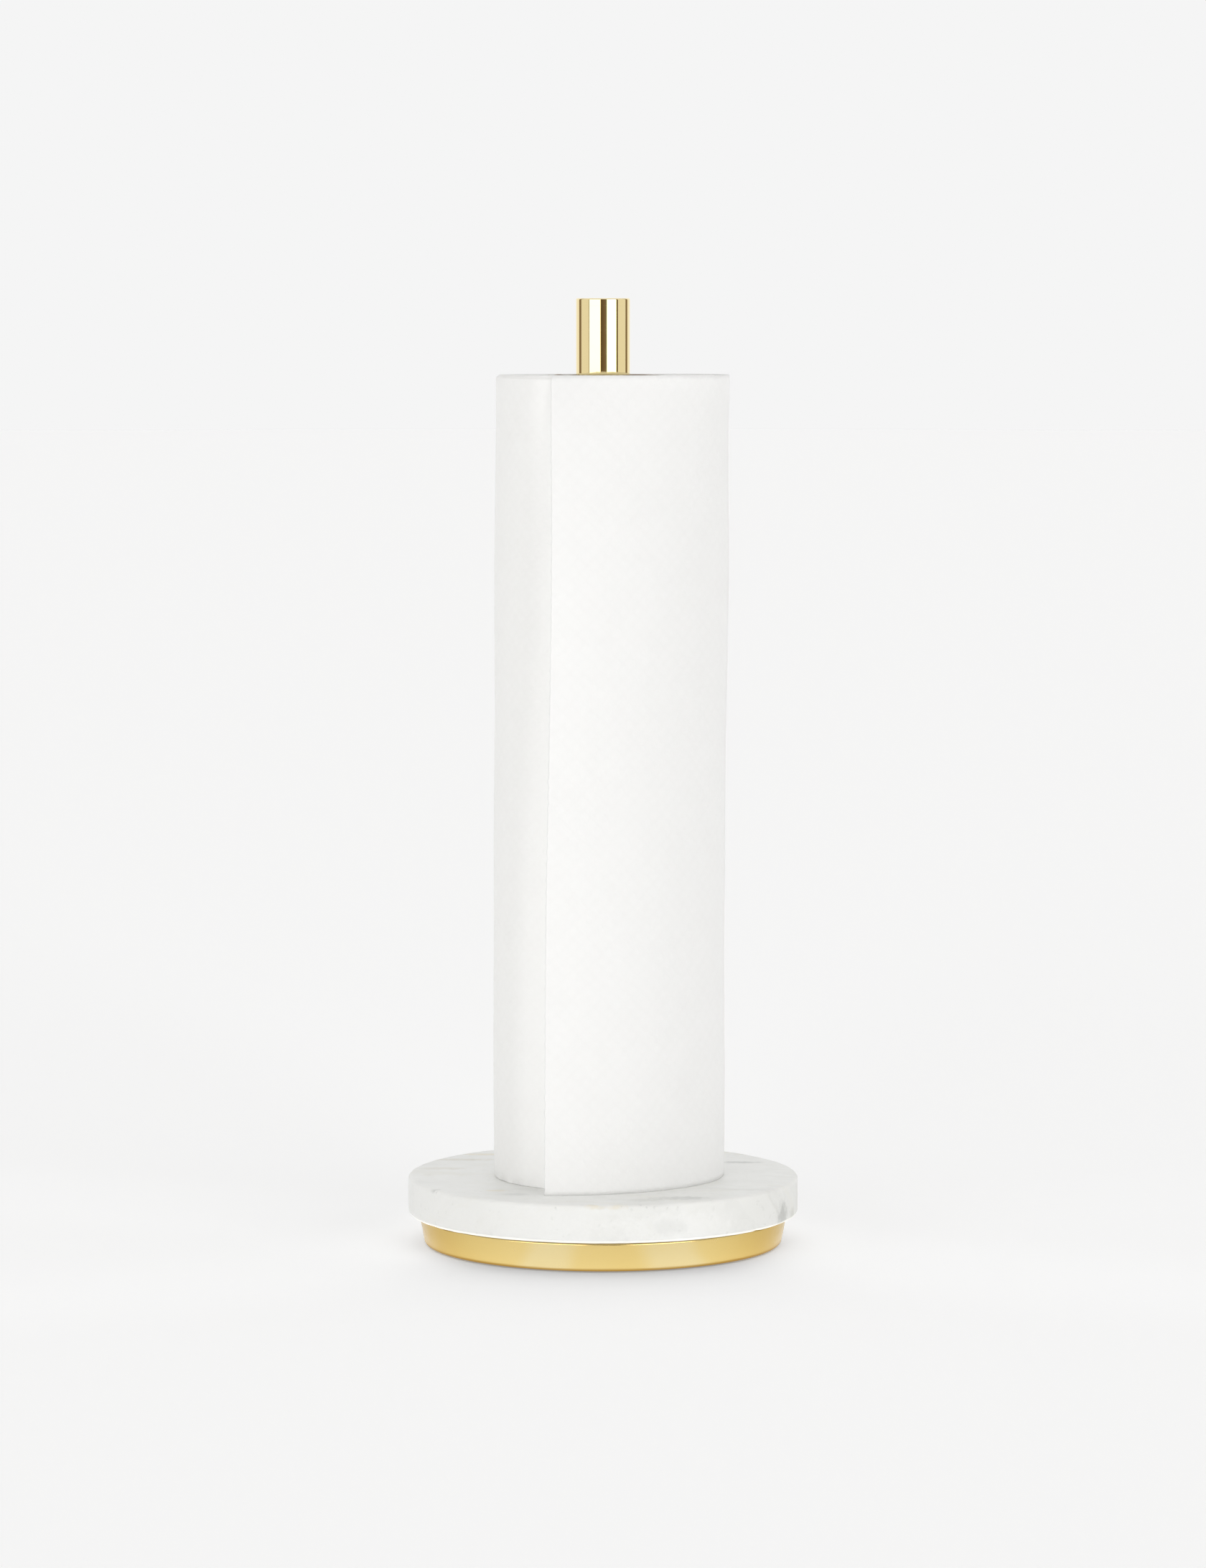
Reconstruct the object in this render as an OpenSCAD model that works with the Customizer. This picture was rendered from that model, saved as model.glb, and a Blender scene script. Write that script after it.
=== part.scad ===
// Countertop paper towel holder: a marble disc on a flared metal pan, with an upright post
// that a roll of paper towel slips over. Millimetres, +Z up, origin at the centre of the
// underside. The front is -Y.

/* [Base] */
// Diameter of the marble disc
marble_d = 136.6; // [130:0.2:146]
// Thickness of the marble disc
marble_t = 13.2; // [10:0.2:18]
// Radius of the eased edges of the marble disc
marble_edge_r = 1.2; // [0.6:0.1:2.5]
// Outer diameter of the pan at its rim
pan_rim_d = 128.8; // [122:0.2:129.6]
// Outer diameter of the pan at its bottom corner
pan_foot_d = 124.9; // [121:0.1:125]
// Height of the pan
pan_h = 10.5; // [10.3:0.1:12]
// Thickness of the pressed sheet that the pan is made of
pan_wall = 1.0; // [0.8:0.1:1.2]
// Outer radius of the pan's bottom corner
pan_corner_r = 1.5; // [1.4:0.1:2.5]
// Height of the pan's bottom corner above the table
pan_lift = 0.3; // [0.2:0.1:0.6]
// Diameter of the non-slip foot pad
foot_pad_d = 116.8; // [110:0.2:117.6]
// Thickness of the non-slip foot pad
foot_pad_t = 2.0; // [1.8:0.1:2.2]
// Diameter of the well under the pan that takes the screw's head
well_d = 34; // [30:0.5:40]
// Thickness of the foam sheet between the pan and the marble
marble_pad_t = 0.8; // [0.5:0.1:1]

/* [Post] */
// Height of the whole holder
overall_h = 330; // [320:1:340]
// Outer diameter of the post
post_d = 18.7; // [18:0.1:22]
// Wall thickness of the post's tube
post_wall = 1.2; // [1:0.1:1.5]
// Edge radius of the post's top
post_edge_r = 1.0; // [0.5:0.1:1.2]
// Thickness of the washer between the post and the marble
post_washer_t = 0.8; // [0.5:0.1:1.2]

/* [Fastening] */
// Thread diameter of the clamp screw
screw_d = 6; // [5:1:6]
// Length of the clamp screw under its head
screw_l = 35; // [33:1:38]
// Width of the screw's hexagon head across its flats
head_af = 10; // [8:1:10]
// Height of the screw's head
head_h = 4; // [3.5:0.1:4.2]
// Outer diameter of the flat washer
washer_d = 18; // [14:1:20]
// Thickness of the flat washer and of the spring washer
washer_t = 1.6; // [1.2:0.1:1.6]

/* [Paper] */
// Height of the roll, which is the width of its sheets
roll_h = 279.4; // [270:0.1:282]
// Diameter of the wound roll
roll_d = 76.8; // [60:0.2:80]
// Bore of the cardboard core
core_bore = 39.6; // [38:0.2:44]
// Wall thickness of the cardboard core
core_wall = 0.7; // [0.5:0.1:1]
// How far the roll stands off the post's axis, to the right
roll_shift = 0.8; // [0:0.1:3]
// Length of the loose sheet round the roll
sheet_l = 149.9; // [120:0.1:152]
// Thickness of the space that the loose sheet takes up
sheet_t = 1.0; // [0.8:0.1:1.2]
// Length of the loose sheet's straight end
tail_l = 34; // [20:1:40]
// How far the loose sheet bulges to the right of the roll
sheet_shift = 3.0; // [2.5:0.1:4]

/* [Hidden] */
$fn = 96;

// Gap between pieces that slip together, and the running gap of the core in the roll
slip = 0.05;
core_gap = 0.3;
// How far cutting shapes run past what they cut
past = 1;

// Heights of the stack, from the table up
floor_z = foot_pad_t + pan_wall;
rim_z = pan_lift + pan_h;
plate_z = rim_z - marble_pad_t;
well_z = plate_z - pan_wall;
top_z = rim_z + marble_t;
post_z = top_z + post_washer_t;
cap_z = overall_h - 2.5;

// Post and its fittings
post_r = post_d / 2;
tube_bore_r = post_r - post_wall;
plug_r = tube_bore_r - slip;
plug_l = 18;
cap_spigot_l = 12;

// Fastening
screw_r = screw_d / 2;
screw_hole_r = screw_r + 0.4;
thread_pitch = 1;
thread_depth = 0.55;
head_z = well_z - 2 * washer_t - head_h;
spring_split = 1.4;

// Pan
well_r = well_d / 2;
pan_flare = atan((pan_rim_d - pan_foot_d) / 2 / pan_h);
pan_inner_corner_r = 0.4;
pad_gap = 0.2;

// Paper
roll_r = roll_d / 2;
core_r = core_bore / 2 + core_wall;
paper_edge_r = 1.5;
sheet_r = roll_r + 0.4;
// The loose sheet leaves the curve at this angle, and its curve takes up the rest of its length
tail_a = -76;
sheet_a = (sheet_l - tail_l) / (sheet_r + sheet_t / 2) * 180 / PI;

// A bar of the r-z plane from r0 to r1 and from z0 to z1, its outer corners rounded by low and high
module edged_bar(r0, r1, z0, z1, low, high) {
    translate([r0, z0 + low]) square([r1 - r0, z1 - z0 - low - high]);
    translate([r0, z0]) square([r1 - r0 - low, low]);
    translate([r0, z1 - high]) square([r1 - r0 - high, high]);
    translate([r1 - low, z0 + low]) circle(low);
    translate([r1 - high, z1 - high]) circle(high);
}

// A disc or ring turned from an edged bar
module turned(r0, r1, z0, z1, low = 0.2, high = 0.2) {
    rotate_extrude() edged_bar(r0, r1, z0, z1, low, high);
}

// The r-z outline of a flared cup, filled to the axis: foot radius, foot and rim heights, corner radius
module cup_outline(foot_r, z0, z1, corner) {
    t = corner / tan((90 + pan_flare) / 2);
    rim_r = foot_r + (z1 - z0) * tan(pan_flare);
    wall_start = [foot_r + t * sin(pan_flare), z0 + t * cos(pan_flare)];
    polygon([[0, z0], [foot_r - t, z0], wall_start, [rim_r, z1], [0, z1]]);
    translate([foot_r - t, z0 + corner]) circle(corner);
}

// The pan's cavity: the cup less one sheet's thickness, standing on the raised floor and round the well
module cavity_outline() {
    inner_foot_r = pan_foot_d / 2 + pan_wall * tan(pan_flare) - pan_wall / cos(pan_flare);
    difference() {
        cup_outline(inner_foot_r, pan_lift + pan_wall, rim_z + past, pan_inner_corner_r);
        square([foot_pad_d / 2 + pad_gap + pan_wall, floor_z]);
        square([well_r + pan_wall, plate_z]);
    }
}

// Pressed pan, open at the top, with a recess for the foot pad and a well for the screw's head
module base_pan() {
    color([0.84, 0.70, 0.42])
    rotate_extrude() difference() {
        cup_outline(pan_foot_d / 2, pan_lift, rim_z, pan_corner_r);
        cavity_outline();
        square([foot_pad_d / 2 + pad_gap, foot_pad_t]);
        square([well_r, well_z]);
        square([screw_hole_r, rim_z]);
    }
}

// Steel ring that gives the base its weight, lying in the pan round the well
module ballast_ring() {
    ring_r = pan_foot_d / 2 - pan_wall - 0.5;
    color([0.45, 0.45, 0.46])
    turned(well_r + pan_wall + 0.5, ring_r, floor_z, plate_z, 0.5, 0.5);
}

// Foam sheet that levels the marble on the pan
module marble_pad() {
    pad_r = pan_rim_d / 2 - pan_wall - 1.2;
    color([0.16, 0.16, 0.17])
    turned(screw_hole_r, pad_r, plate_z, rim_z, 0.1, 0.1);
}

// Marble disc with a hole through its middle
module marble_disc() {
    color([0.93, 0.93, 0.91])
    turned(screw_hole_r, marble_d / 2, rim_z, top_z, marble_edge_r, marble_edge_r);
}

// Non-slip ring stuck in the pan's recess
module foot_pad() {
    color([0.12, 0.12, 0.12])
    turned(well_r, foot_pad_d / 2, 0, foot_pad_t, 0.3, 0.2);
}

// Fibre washer that keeps the post's end off the marble
module post_washer() {
    color([0.25, 0.22, 0.2])
    turned(screw_hole_r, post_r - 0.5, top_z, post_z, 0.1, 0.1);
}

// Tube of the post
module post_tube() {
    color([0.84, 0.70, 0.42])
    difference() {
        translate([0, 0, post_z]) cylinder(h = cap_z - post_z, r = post_r);
        translate([0, 0, post_z - past]) cylinder(h = overall_h, r = tube_bore_r);
    }
}

// Closing cap: a flush head with an eased edge and a spigot that goes down into the tube
module post_cap() {
    color([0.84, 0.70, 0.42]) {
        turned(0, post_r, cap_z, overall_h, 0.01, post_edge_r);
        turned(0, plug_r, cap_z - cap_spigot_l, cap_z, 0.5, 0.01);
    }
}

// Steel plug fixed in the tube's lower end, bored and tapped for the clamp screw
module threaded_plug() {
    color([0.6, 0.6, 0.61])
    turned(screw_r + slip, plug_r, post_z, post_z + plug_l, 0.5, 0.5);
}

// Hexagon screw, threaded to its head; the thread is drawn as a ring groove every pitch
module clamp_screw() {
    shank_z = head_z + head_h;
    thread_n = screw_l / thread_pitch;
    core = screw_r - thread_depth;
    flanks = [for (i = [0 : 2 * thread_n]) [i % 2 == 0 ? core : screw_r, shank_z + i * thread_pitch / 2]];
    color([0.72, 0.72, 0.73]) {
        intersection() {
            translate([0, 0, head_z]) cylinder(h = head_h, r = head_af / 2 / cos(30), $fn = 6);
            turned(0, head_af / 2 / cos(30) - 0.1, head_z, shank_z, 0.5, 0.05);
        }
        rotate_extrude() polygon(concat([[0, shank_z]], flanks, [[0, shank_z + screw_l]]));
    }
}

// Split spring washer under the screw's head, of square section
module spring_washer() {
    color([0.7, 0.7, 0.71])
    translate([0, 0, head_z + head_h])
        difference() {
            cylinder(h = washer_t, r = screw_r * 1.95);
            translate([0, 0, -past]) cylinder(h = washer_t + 2 * past, r = screw_r + 0.1);
            translate([0, -spring_split / 2, washer_t / 2])
                rotate([25, 0, 0]) translate([0, 0, -washer_t * 2])
                    cube([washer_d, spring_split, washer_t * 4]);
        }
}

// Large flat washer against the top of the well
module flat_washer() {
    color([0.72, 0.72, 0.73])
    turned(screw_r + 0.2, washer_d / 2, well_z - washer_t, well_z, 0.2, 0.2);
}

// Cardboard core of the roll
module core_tube() {
    color([0.72, 0.6, 0.45])
    translate([roll_shift, 0, top_z])
        difference() {
            cylinder(h = roll_h, r = core_r);
            translate([0, 0, -past]) cylinder(h = roll_h + 2 * past, r = core_bore / 2);
        }
}

// Wound paper round the core, with soft edges
module paper_roll() {
    color([0.95, 0.95, 0.94])
    translate([roll_shift, 0, 0])
        turned(core_r + core_gap, roll_r, top_z, top_z + roll_h, paper_edge_r, paper_edge_r);
}

// Plan of the loose sheet: a band round the right of the roll, then a straight end towards the front left
module sheet_plan() {
    reach = 4 * roll_r;
    difference() {
        circle(sheet_r + sheet_t);
        circle(sheet_r);
        rotate(tail_a) translate([-reach, -reach]) square([2 * reach, reach]);
        rotate(tail_a + sheet_a) translate([-reach, 0]) square([2 * reach, reach]);
    }
    rotate(tail_a) translate([sheet_r, -tail_l]) square([sheet_t, tail_l]);
}

// Outermost sheet, come loose from the roll from its perforation at the back to its free end
module loose_sheet() {
    color([0.97, 0.97, 0.96])
    translate([roll_shift + sheet_shift, 0, top_z])
        linear_extrude(height = roll_h) sheet_plan();
}

base_pan();
ballast_ring();
marble_pad();
marble_disc();
foot_pad();
post_washer();
post_tube();
post_cap();
threaded_plug();
clamp_screw();
spring_washer();
flat_washer();
core_tube();
paper_roll();
loose_sheet();
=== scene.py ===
"""A countertop paper towel holder with its roll: the finished look of every piece.

The frame gives the sizes and places. Metres, +Z up, the front is -Y. The holder stands on a
plain pale floor in an even studio light, with two tall softboxes in front of it.
"""

import math

import bpy
import numpy as np
from mathutils import Euler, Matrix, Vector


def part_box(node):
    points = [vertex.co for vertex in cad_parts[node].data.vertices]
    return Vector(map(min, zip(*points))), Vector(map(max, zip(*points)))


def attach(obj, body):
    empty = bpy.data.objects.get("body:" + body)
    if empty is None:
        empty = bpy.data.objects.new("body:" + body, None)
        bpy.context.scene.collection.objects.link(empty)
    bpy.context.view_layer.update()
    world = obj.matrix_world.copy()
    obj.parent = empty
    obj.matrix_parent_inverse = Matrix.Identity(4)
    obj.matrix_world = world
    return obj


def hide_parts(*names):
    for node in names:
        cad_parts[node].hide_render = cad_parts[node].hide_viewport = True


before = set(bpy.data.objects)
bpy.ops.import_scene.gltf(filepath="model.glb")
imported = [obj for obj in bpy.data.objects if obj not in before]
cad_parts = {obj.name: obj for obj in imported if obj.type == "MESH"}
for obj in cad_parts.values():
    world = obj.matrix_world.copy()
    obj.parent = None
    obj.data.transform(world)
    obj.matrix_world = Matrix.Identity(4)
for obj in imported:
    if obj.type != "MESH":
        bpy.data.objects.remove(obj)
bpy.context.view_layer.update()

MM = 0.001
TAU = 2 * math.pi

# Sizes that the frame gives
PAN_LOW, PAN_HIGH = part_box("base_pan")
FOOT_LOW, FOOT_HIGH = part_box("foot_pad")
MARBLE_LOW, MARBLE_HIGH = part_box("marble_disc")
TUBE_LOW, TUBE_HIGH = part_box("post_tube")
CAP_LOW, CAP_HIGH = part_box("post_cap")
CORE_LOW, CORE_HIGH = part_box("core_tube")
ROLL_LOW, ROLL_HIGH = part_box("paper_roll")

MARBLE_R = MARBLE_HIGH.x
POST_R = TUBE_HIGH.x
PAN_RIM_R = PAN_HIGH.x
PAN_FOOT_R = 62.45 * MM
ROLL_R = (ROLL_HIGH.x - ROLL_LOW.x) / 2
ROLL_X = (ROLL_HIGH.x + ROLL_LOW.x) / 2
CORE_R = (CORE_HIGH.x - CORE_LOW.x) / 2
ROLL_H = ROLL_HIGH.z - ROLL_LOW.z

# The loose sheet as it was cut: along the roll's round, and across the roll
SHEET_CUT = (0.1499, 0.2794)
SHEET_THICK = 0.35 * MM
# The pitch of the quilting on both papers
QUILT = 5.2 * MM

# The floor's colour and its own glow together come to the backdrop's tone in open light
FLOOR_ALBEDO = 0.95
FLOOR_GLOW = 0.098
BACKDROP = 0.913
FLOOR_R = 9.0
FLOOR_Z = -0.05 * MM
# Painted shadow in front of the foot and painted light beside it: how strong, how fast it fades
FRONT_SHADE = 0.25
FRONT_SHADE_REACH = 22 * MM
SIDE_LIFT = 0.28
SIDE_LIFT_REACH = 12.5 * MM
# A painted glow that thins the shadow close to the foot in front, and how fast it fades
CONTACT_GLOW = 0.08
CONTACT_REACH = 13 * MM
# Painted softbox reflections on it, seen only in the pan: middle and half width in degrees
PAINTED_SOFTBOX_STREAKS = ((-19.5, 10.0), (25.5, 12.0))
# All gold mirrors a painted glow of it: its strength far away and how much it rises at the foot
GOLD_FLOOR_GLOW = 0.735
GOLD_FLOOR_RISE = 0.20
# Painted stripes the post mirrors further out on it: middle, half width in degrees, and change
FLOOR_STRIPES = (
    (-35.0, 24.0, 0.40),
    (0.0, 8.0, -0.60),
    (38.0, 21.0, 0.45),
    (63.0, 5.0, -0.60),
    (120.0, 9.0, -0.55),
    (158.0, 10.0, 0.35),
    (-168.0, 7.0, -0.50),
    (-135.0, 9.0, 0.40),
    (-114.0, 9.0, -0.55),
)
STRIPES_FROM = (0.12, 0.30)

# Light that the pan's rim throws up on the marble's lower edge
EDGE_GLOW = 0.32
# Light that comes through the loose sheet's free end on the wound paper: where it begins, in
# degrees round the roll, low and high up; where it ends; its strength low and high up; and
# the heights on the roll between which the beginning shifts
SHEET_GLOW_FROM = ((-60.0, -33.0), (-45.0, -28.0))
SHEET_GLOW_TO = (0.0, 40.0)
SHEET_GLOW = (0.11, 0.105)
SHEET_GLOW_SHIFT = (60 * MM, 220 * MM)

# The room: softboxes, and dark strips between pale walls, each with its start and end in
# degrees from the front and its brightness or depth
SOFTBOXES = ((-60.0, -10.5, 2.4), (17.0, 58.5, 3.0))
SOFTBOX_LEVELS = (-12.0, 28.0)
DARK_STRIPS = ((-123.0, -106.0, 0.75), (112.0, 128.0, 0.75), (58.5, 66.5, 0.85))
SIDE_WALL, BACK_WALL, CEILING = 0.88, 1.0, 0.85

CAMERA_BACK = 2.0184
CAMERA_HEIGHT = 0.3486
CAMERA_TILT = 84.698
CAMERA_LENS = 133.58


# ---------------------------------------------------------------------------------------------
# Meshes
# ---------------------------------------------------------------------------------------------


def ease(value, start, end):
    """0 below start, 1 above end, and t * t * (3 - 2 t) between them."""
    t = np.clip((value - start) / (end - start), 0.0, 1.0)
    return t * t * (3 - 2 * t)


def ripple(seed, lowest, highest, count, *along):
    """A smooth random wave over any number of angles or lengths: the mean of count sines, each
    with random whole numbers from lowest to highest as its frequencies and a random phase."""
    rng = np.random.default_rng(seed)
    total = 0.0
    for _ in range(count):
        phase = rng.uniform(0, TAU)
        for axis in along:
            phase = phase + axis * rng.integers(lowest, highest + 1) * rng.choice([-1, 1])
        total = total + np.sin(phase)
    return total / math.sqrt(count)


def grid_quads(rows, columns, close_rows, close_columns):
    """Four point numbers for each cell of a rows x columns grid, joined end to start if closed."""
    row = np.arange(rows if close_rows else rows - 1)
    column = np.arange(columns if close_columns else columns - 1)
    i, j = np.meshgrid(row, column, indexing="ij")
    next_i = (i + 1) % rows
    next_j = (j + 1) % columns
    corners = [
        i * columns + j,
        i * columns + next_j,
        next_i * columns + next_j,
        next_i * columns + j,
    ]
    return np.stack(corners, axis=-1).reshape(-1, 4)


def volume(points, quads):
    """The signed volume inside quads: a sixth of the sum of a . (b x c) over their triangles."""
    a, b, c, d = (points[quads[:, k]] for k in range(4))
    first = np.einsum("ij,ij->i", a, np.cross(b, c))
    second = np.einsum("ij,ij->i", a, np.cross(c, d))
    return (first.sum() + second.sum()) / 6


def build_piece(name, points, quads, finish, uv=None, solid=True):
    """A smooth mesh object from arrays of points and quads, its faces pointing out."""
    if solid and volume(points, quads) < 0:
        quads = quads[:, ::-1]
    mesh = bpy.data.meshes.new(name)
    mesh.vertices.add(len(points))
    mesh.vertices.foreach_set("co", points.astype(np.float32).ravel())
    mesh.loops.add(quads.size)
    mesh.loops.foreach_set("vertex_index", quads.astype(np.int32).ravel())
    mesh.polygons.add(len(quads))
    mesh.polygons.foreach_set("loop_start", np.arange(0, quads.size, 4, dtype=np.int32))
    mesh.update(calc_edges=True)
    mesh.polygons.foreach_set("use_smooth", np.ones(len(quads), dtype=bool))
    if uv is not None:
        layer = mesh.uv_layers.new(name="paper")
        layer.uv.foreach_set("vector", uv[quads.ravel()].astype(np.float32).ravel())
    mesh.materials.append(finish)
    mesh.update()
    piece = bpy.data.objects.new(name, mesh)
    bpy.context.scene.collection.objects.link(piece)
    return piece


def outline(corners, steps=7):
    """The closed outline of a turned piece in the r-z plane, from (r, z, radius) corners. Each
    corner with a radius becomes an arc, centre + radius * (cos a, sin a), with one more point
    just outside each end of it, which keeps the flats beside it flat when they are shaded."""
    points = []
    count = len(corners)
    for index in range(count):
        before = np.array(corners[index - 1][:2])
        here = np.array(corners[index][:2])
        after = np.array(corners[(index + 1) % count][:2])
        radius = corners[index][2]
        if radius == 0:
            points.append(here)
            continue
        into = (here - before) / np.linalg.norm(here - before)
        away = (after - here) / np.linalg.norm(after - here)
        turn = math.acos(np.clip(into @ away, -1, 1))
        reach = radius * math.tan(turn / 2)
        inward = (away - into) / np.linalg.norm(away - into)
        centre = here + inward * radius / math.cos(turn / 2)
        start = (here - into * reach - centre) / radius
        support = min(0.12 * MM, 2 * radius)
        angle = np.linspace(0, turn, steps)[:, None]
        arc = centre + radius * (start * np.cos(angle) + into * np.sin(angle))
        points += [here - into * (reach + support), *arc, here + away * (reach + support)]
    return np.array(points)


def refine(profile, longest):
    """The same closed outline with its long straight stretches cut so that none is longer than
    longest."""
    following = np.roll(profile, -1, axis=0)
    length = np.linalg.norm(following - profile, axis=1)
    parts = np.maximum(1, np.ceil(length / longest).astype(int))
    start = np.repeat(np.arange(len(profile)), parts)
    share = np.concatenate([np.arange(n) / n for n in parts])[:, None]
    return profile[start] * (1 - share) + following[start] * share


def turned(name, profile, segments, finish, shape=None):
    """A closed outline of (r, z) turned about the Z axis: (r cos a, r sin a, z). shape may move
    the points: it takes the arrays a, r and z and returns new x, y and z."""
    angle = np.linspace(0, TAU, segments, endpoint=False)
    a, r = np.meshgrid(angle, profile[:, 0])
    z = np.repeat(profile[:, 1][:, None], segments, axis=1)
    x, y = r * np.cos(a), r * np.sin(a)
    if shape is not None:
        x, y, z = shape(a, r, z)
    points = np.stack([x, y, z], axis=-1).reshape(-1, 3)
    quads = grid_quads(len(profile), segments, True, True)
    return build_piece(name, points, quads, finish)


# ---------------------------------------------------------------------------------------------
# Shader building
# ---------------------------------------------------------------------------------------------


def node(tree, kind, inputs=None, **settings):
    """Adds a node, sets or links its inputs, and returns it."""
    made = tree.nodes.new(kind)
    for name, value in settings.items():
        setattr(made, name, value)
    fill(tree, made, inputs or {})
    return made


def fill(tree, made, inputs):
    """Sets a node's inputs to values, or links them from other nodes' sockets."""
    for key, value in inputs.items():
        if isinstance(value, bpy.types.NodeSocket):
            tree.links.new(value, made.inputs[key])
        else:
            made.inputs[key].default_value = value


def maths(tree, operation, a, b=0.0, clamp=False):
    made = node(tree, "ShaderNodeMath", {0: a, 1: b}, operation=operation, use_clamp=clamp)
    return made.outputs[0]


def times(tree, a, b):
    return maths(tree, "MULTIPLY", a, b)


def plus(tree, a, b, clamp=False):
    return maths(tree, "ADD", a, b, clamp)


def minus(tree, a, b, clamp=False):
    return maths(tree, "SUBTRACT", a, b, clamp)


def vector_maths(tree, operation, a, b):
    return node(tree, "ShaderNodeVectorMath", {0: a, 1: b}, operation=operation).outputs[0]


def scaled(tree, vector, scale):
    inputs = {0: vector, "Scale": scale}
    return node(tree, "ShaderNodeVectorMath", inputs, operation="SCALE").outputs[0]


def length_of(tree, vector):
    return node(tree, "ShaderNodeVectorMath", {0: vector}, operation="LENGTH").outputs["Value"]


def slope(tree, value, start, end, low=0.0, high=1.0):
    """value eased from low at start to high at end."""
    inputs = {0: value, 1: start, 2: end, 3: low, 4: high}
    return node(tree, "ShaderNodeMapRange", inputs, interpolation_type="SMOOTHSTEP").outputs[0]


def colour_mix(tree, factor, a, b):
    return node(tree, "ShaderNodeMix", {0: factor, 6: a, 7: b}, data_type="RGBA").outputs[2]


def number_mix(tree, factor, a, b):
    return node(tree, "ShaderNodeMix", {0: factor, 2: a, 3: b}, data_type="FLOAT").outputs[0]


def noise(tree, vector, scale, detail=3.0, roughness=0.5):
    inputs = {"Vector": vector, "Scale": scale, "Detail": detail, "Roughness": roughness}
    return node(tree, "ShaderNodeTexNoise", inputs).outputs[0]


def split(tree, vector):
    return node(tree, "ShaderNodeSeparateXYZ", {0: vector}).outputs


def joined(tree, x, y, z):
    return node(tree, "ShaderNodeCombineXYZ", {0: x, 1: y, 2: z}).outputs[0]


def grey_of(tree, value):
    return joined(tree, value, value, value)


def degrees_from_front(tree, x, y):
    """The angle about the Z axis in degrees: 0 at the front (-Y), positive to the right."""
    turn = maths(tree, "ARCTAN2", x, times(tree, y, -1.0))
    return times(tree, turn, 180 / math.pi)


def group(name, inputs, outputs):
    """An empty node group with named sockets. inputs maps a name to its kind and default."""
    tree = bpy.data.node_groups.new(name, "ShaderNodeTree")
    for label, (kind, default) in inputs.items():
        socket = tree.interface.new_socket(label, in_out="INPUT", socket_type="NodeSocket" + kind)
        socket.default_value = default
    for label, kind in outputs.items():
        tree.interface.new_socket(label, in_out="OUTPUT", socket_type="NodeSocket" + kind)
    entry = tree.nodes.new("NodeGroupInput")
    leave = tree.nodes.new("NodeGroupOutput")
    return tree, entry.outputs, leave.inputs


def use(tree, made_group, inputs):
    """Places a node group in a material with that material's own values."""
    made = tree.nodes.new("ShaderNodeGroup")
    made.node_tree = made_group
    fill(tree, made, inputs)
    return made.outputs


def new_finish(name, **fixed):
    """A material with a Principled BSDF whose fixed values are set on its own sockets."""
    finish = bpy.data.materials.new(name)
    finish.use_nodes = True
    tree = finish.node_tree
    shader = tree.nodes["Principled BSDF"]
    for key, value in fixed.items():
        shader.inputs[key.replace("_", " ")].default_value = value
    place = tree.nodes.new("ShaderNodeTexCoord").outputs["Object"]
    return finish, tree, shader, place


def finish_with(tree, shader, colour=None, rough=None, heights=()):
    """Links colour and roughness, and a chain of bumps from (height, distance) pairs."""
    if colour is not None:
        tree.links.new(colour, shader.inputs["Base Color"])
    if rough is not None:
        tree.links.new(rough, shader.inputs["Roughness"])
    normal = None
    for height, distance in heights:
        inputs = {"Height": height, "Distance": distance, "Strength": 1.0}
        if normal is not None:
            inputs["Normal"] = normal
        normal = node(tree, "ShaderNodeBump", inputs).outputs[0]
    if normal is not None:
        tree.links.new(normal, shader.inputs["Normal"])


def faint_glow(finish, tree, shader, colour):
    """A glow that adds to the surface without being treated as a lamp."""
    tree.links.new(colour, shader.inputs["Emission Color"])
    shader.inputs["Emission Strength"].default_value = 1.0
    finish.cycles.emission_sampling = "NONE"


# ---------------------------------------------------------------------------------------------
# Effects that several finishes share
# ---------------------------------------------------------------------------------------------


def make_unevenness():
    """A cloudy value from 0 to 1: noise whose contrast is raised about its middle."""
    tree, given, result = group(
        "Unevenness",
        {
            "Vector": ("Vector", (0, 0, 0)),
            "Scale": ("Float", 100.0),
            "Detail": ("Float", 3.0),
            "Contrast": ("Float", 1.0),
        },
        {"Value": "Float"},
    )
    cloud = noise(tree, given["Vector"], given["Scale"], given["Detail"], 0.55)
    spread = times(tree, minus(tree, cloud, 0.5), given["Contrast"])
    tree.links.new(plus(tree, spread, 0.5, clamp=True), result["Value"])
    return tree


def make_turning_marks():
    """Fine rings about the Z axis, as turning and polishing leave: noise over r + z, which
    changes only slowly round the axis, so that the rings break up."""
    tree, given, result = group(
        "Turning marks",
        {
            "Vector": ("Vector", (0, 0, 0)),
            "Pitch": ("Float", 0.0005),
            "Break up": ("Float", 1.0),
        },
        {"Height": "Float"},
    )
    x, y, z = split(tree, given["Vector"])[:3]
    flat = joined(tree, x, y, 0.0)
    around = node(tree, "ShaderNodeVectorMath", {0: flat}, operation="NORMALIZE").outputs[0]
    around = scaled(tree, around, given["Break up"])
    across = maths(tree, "DIVIDE", plus(tree, length_of(tree, flat), z), given["Pitch"])
    place = vector_maths(tree, "ADD", around, joined(tree, 0.0, 0.0, across))
    tree.links.new(noise(tree, place, 1.0, 2.0), result["Height"])
    return tree


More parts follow.
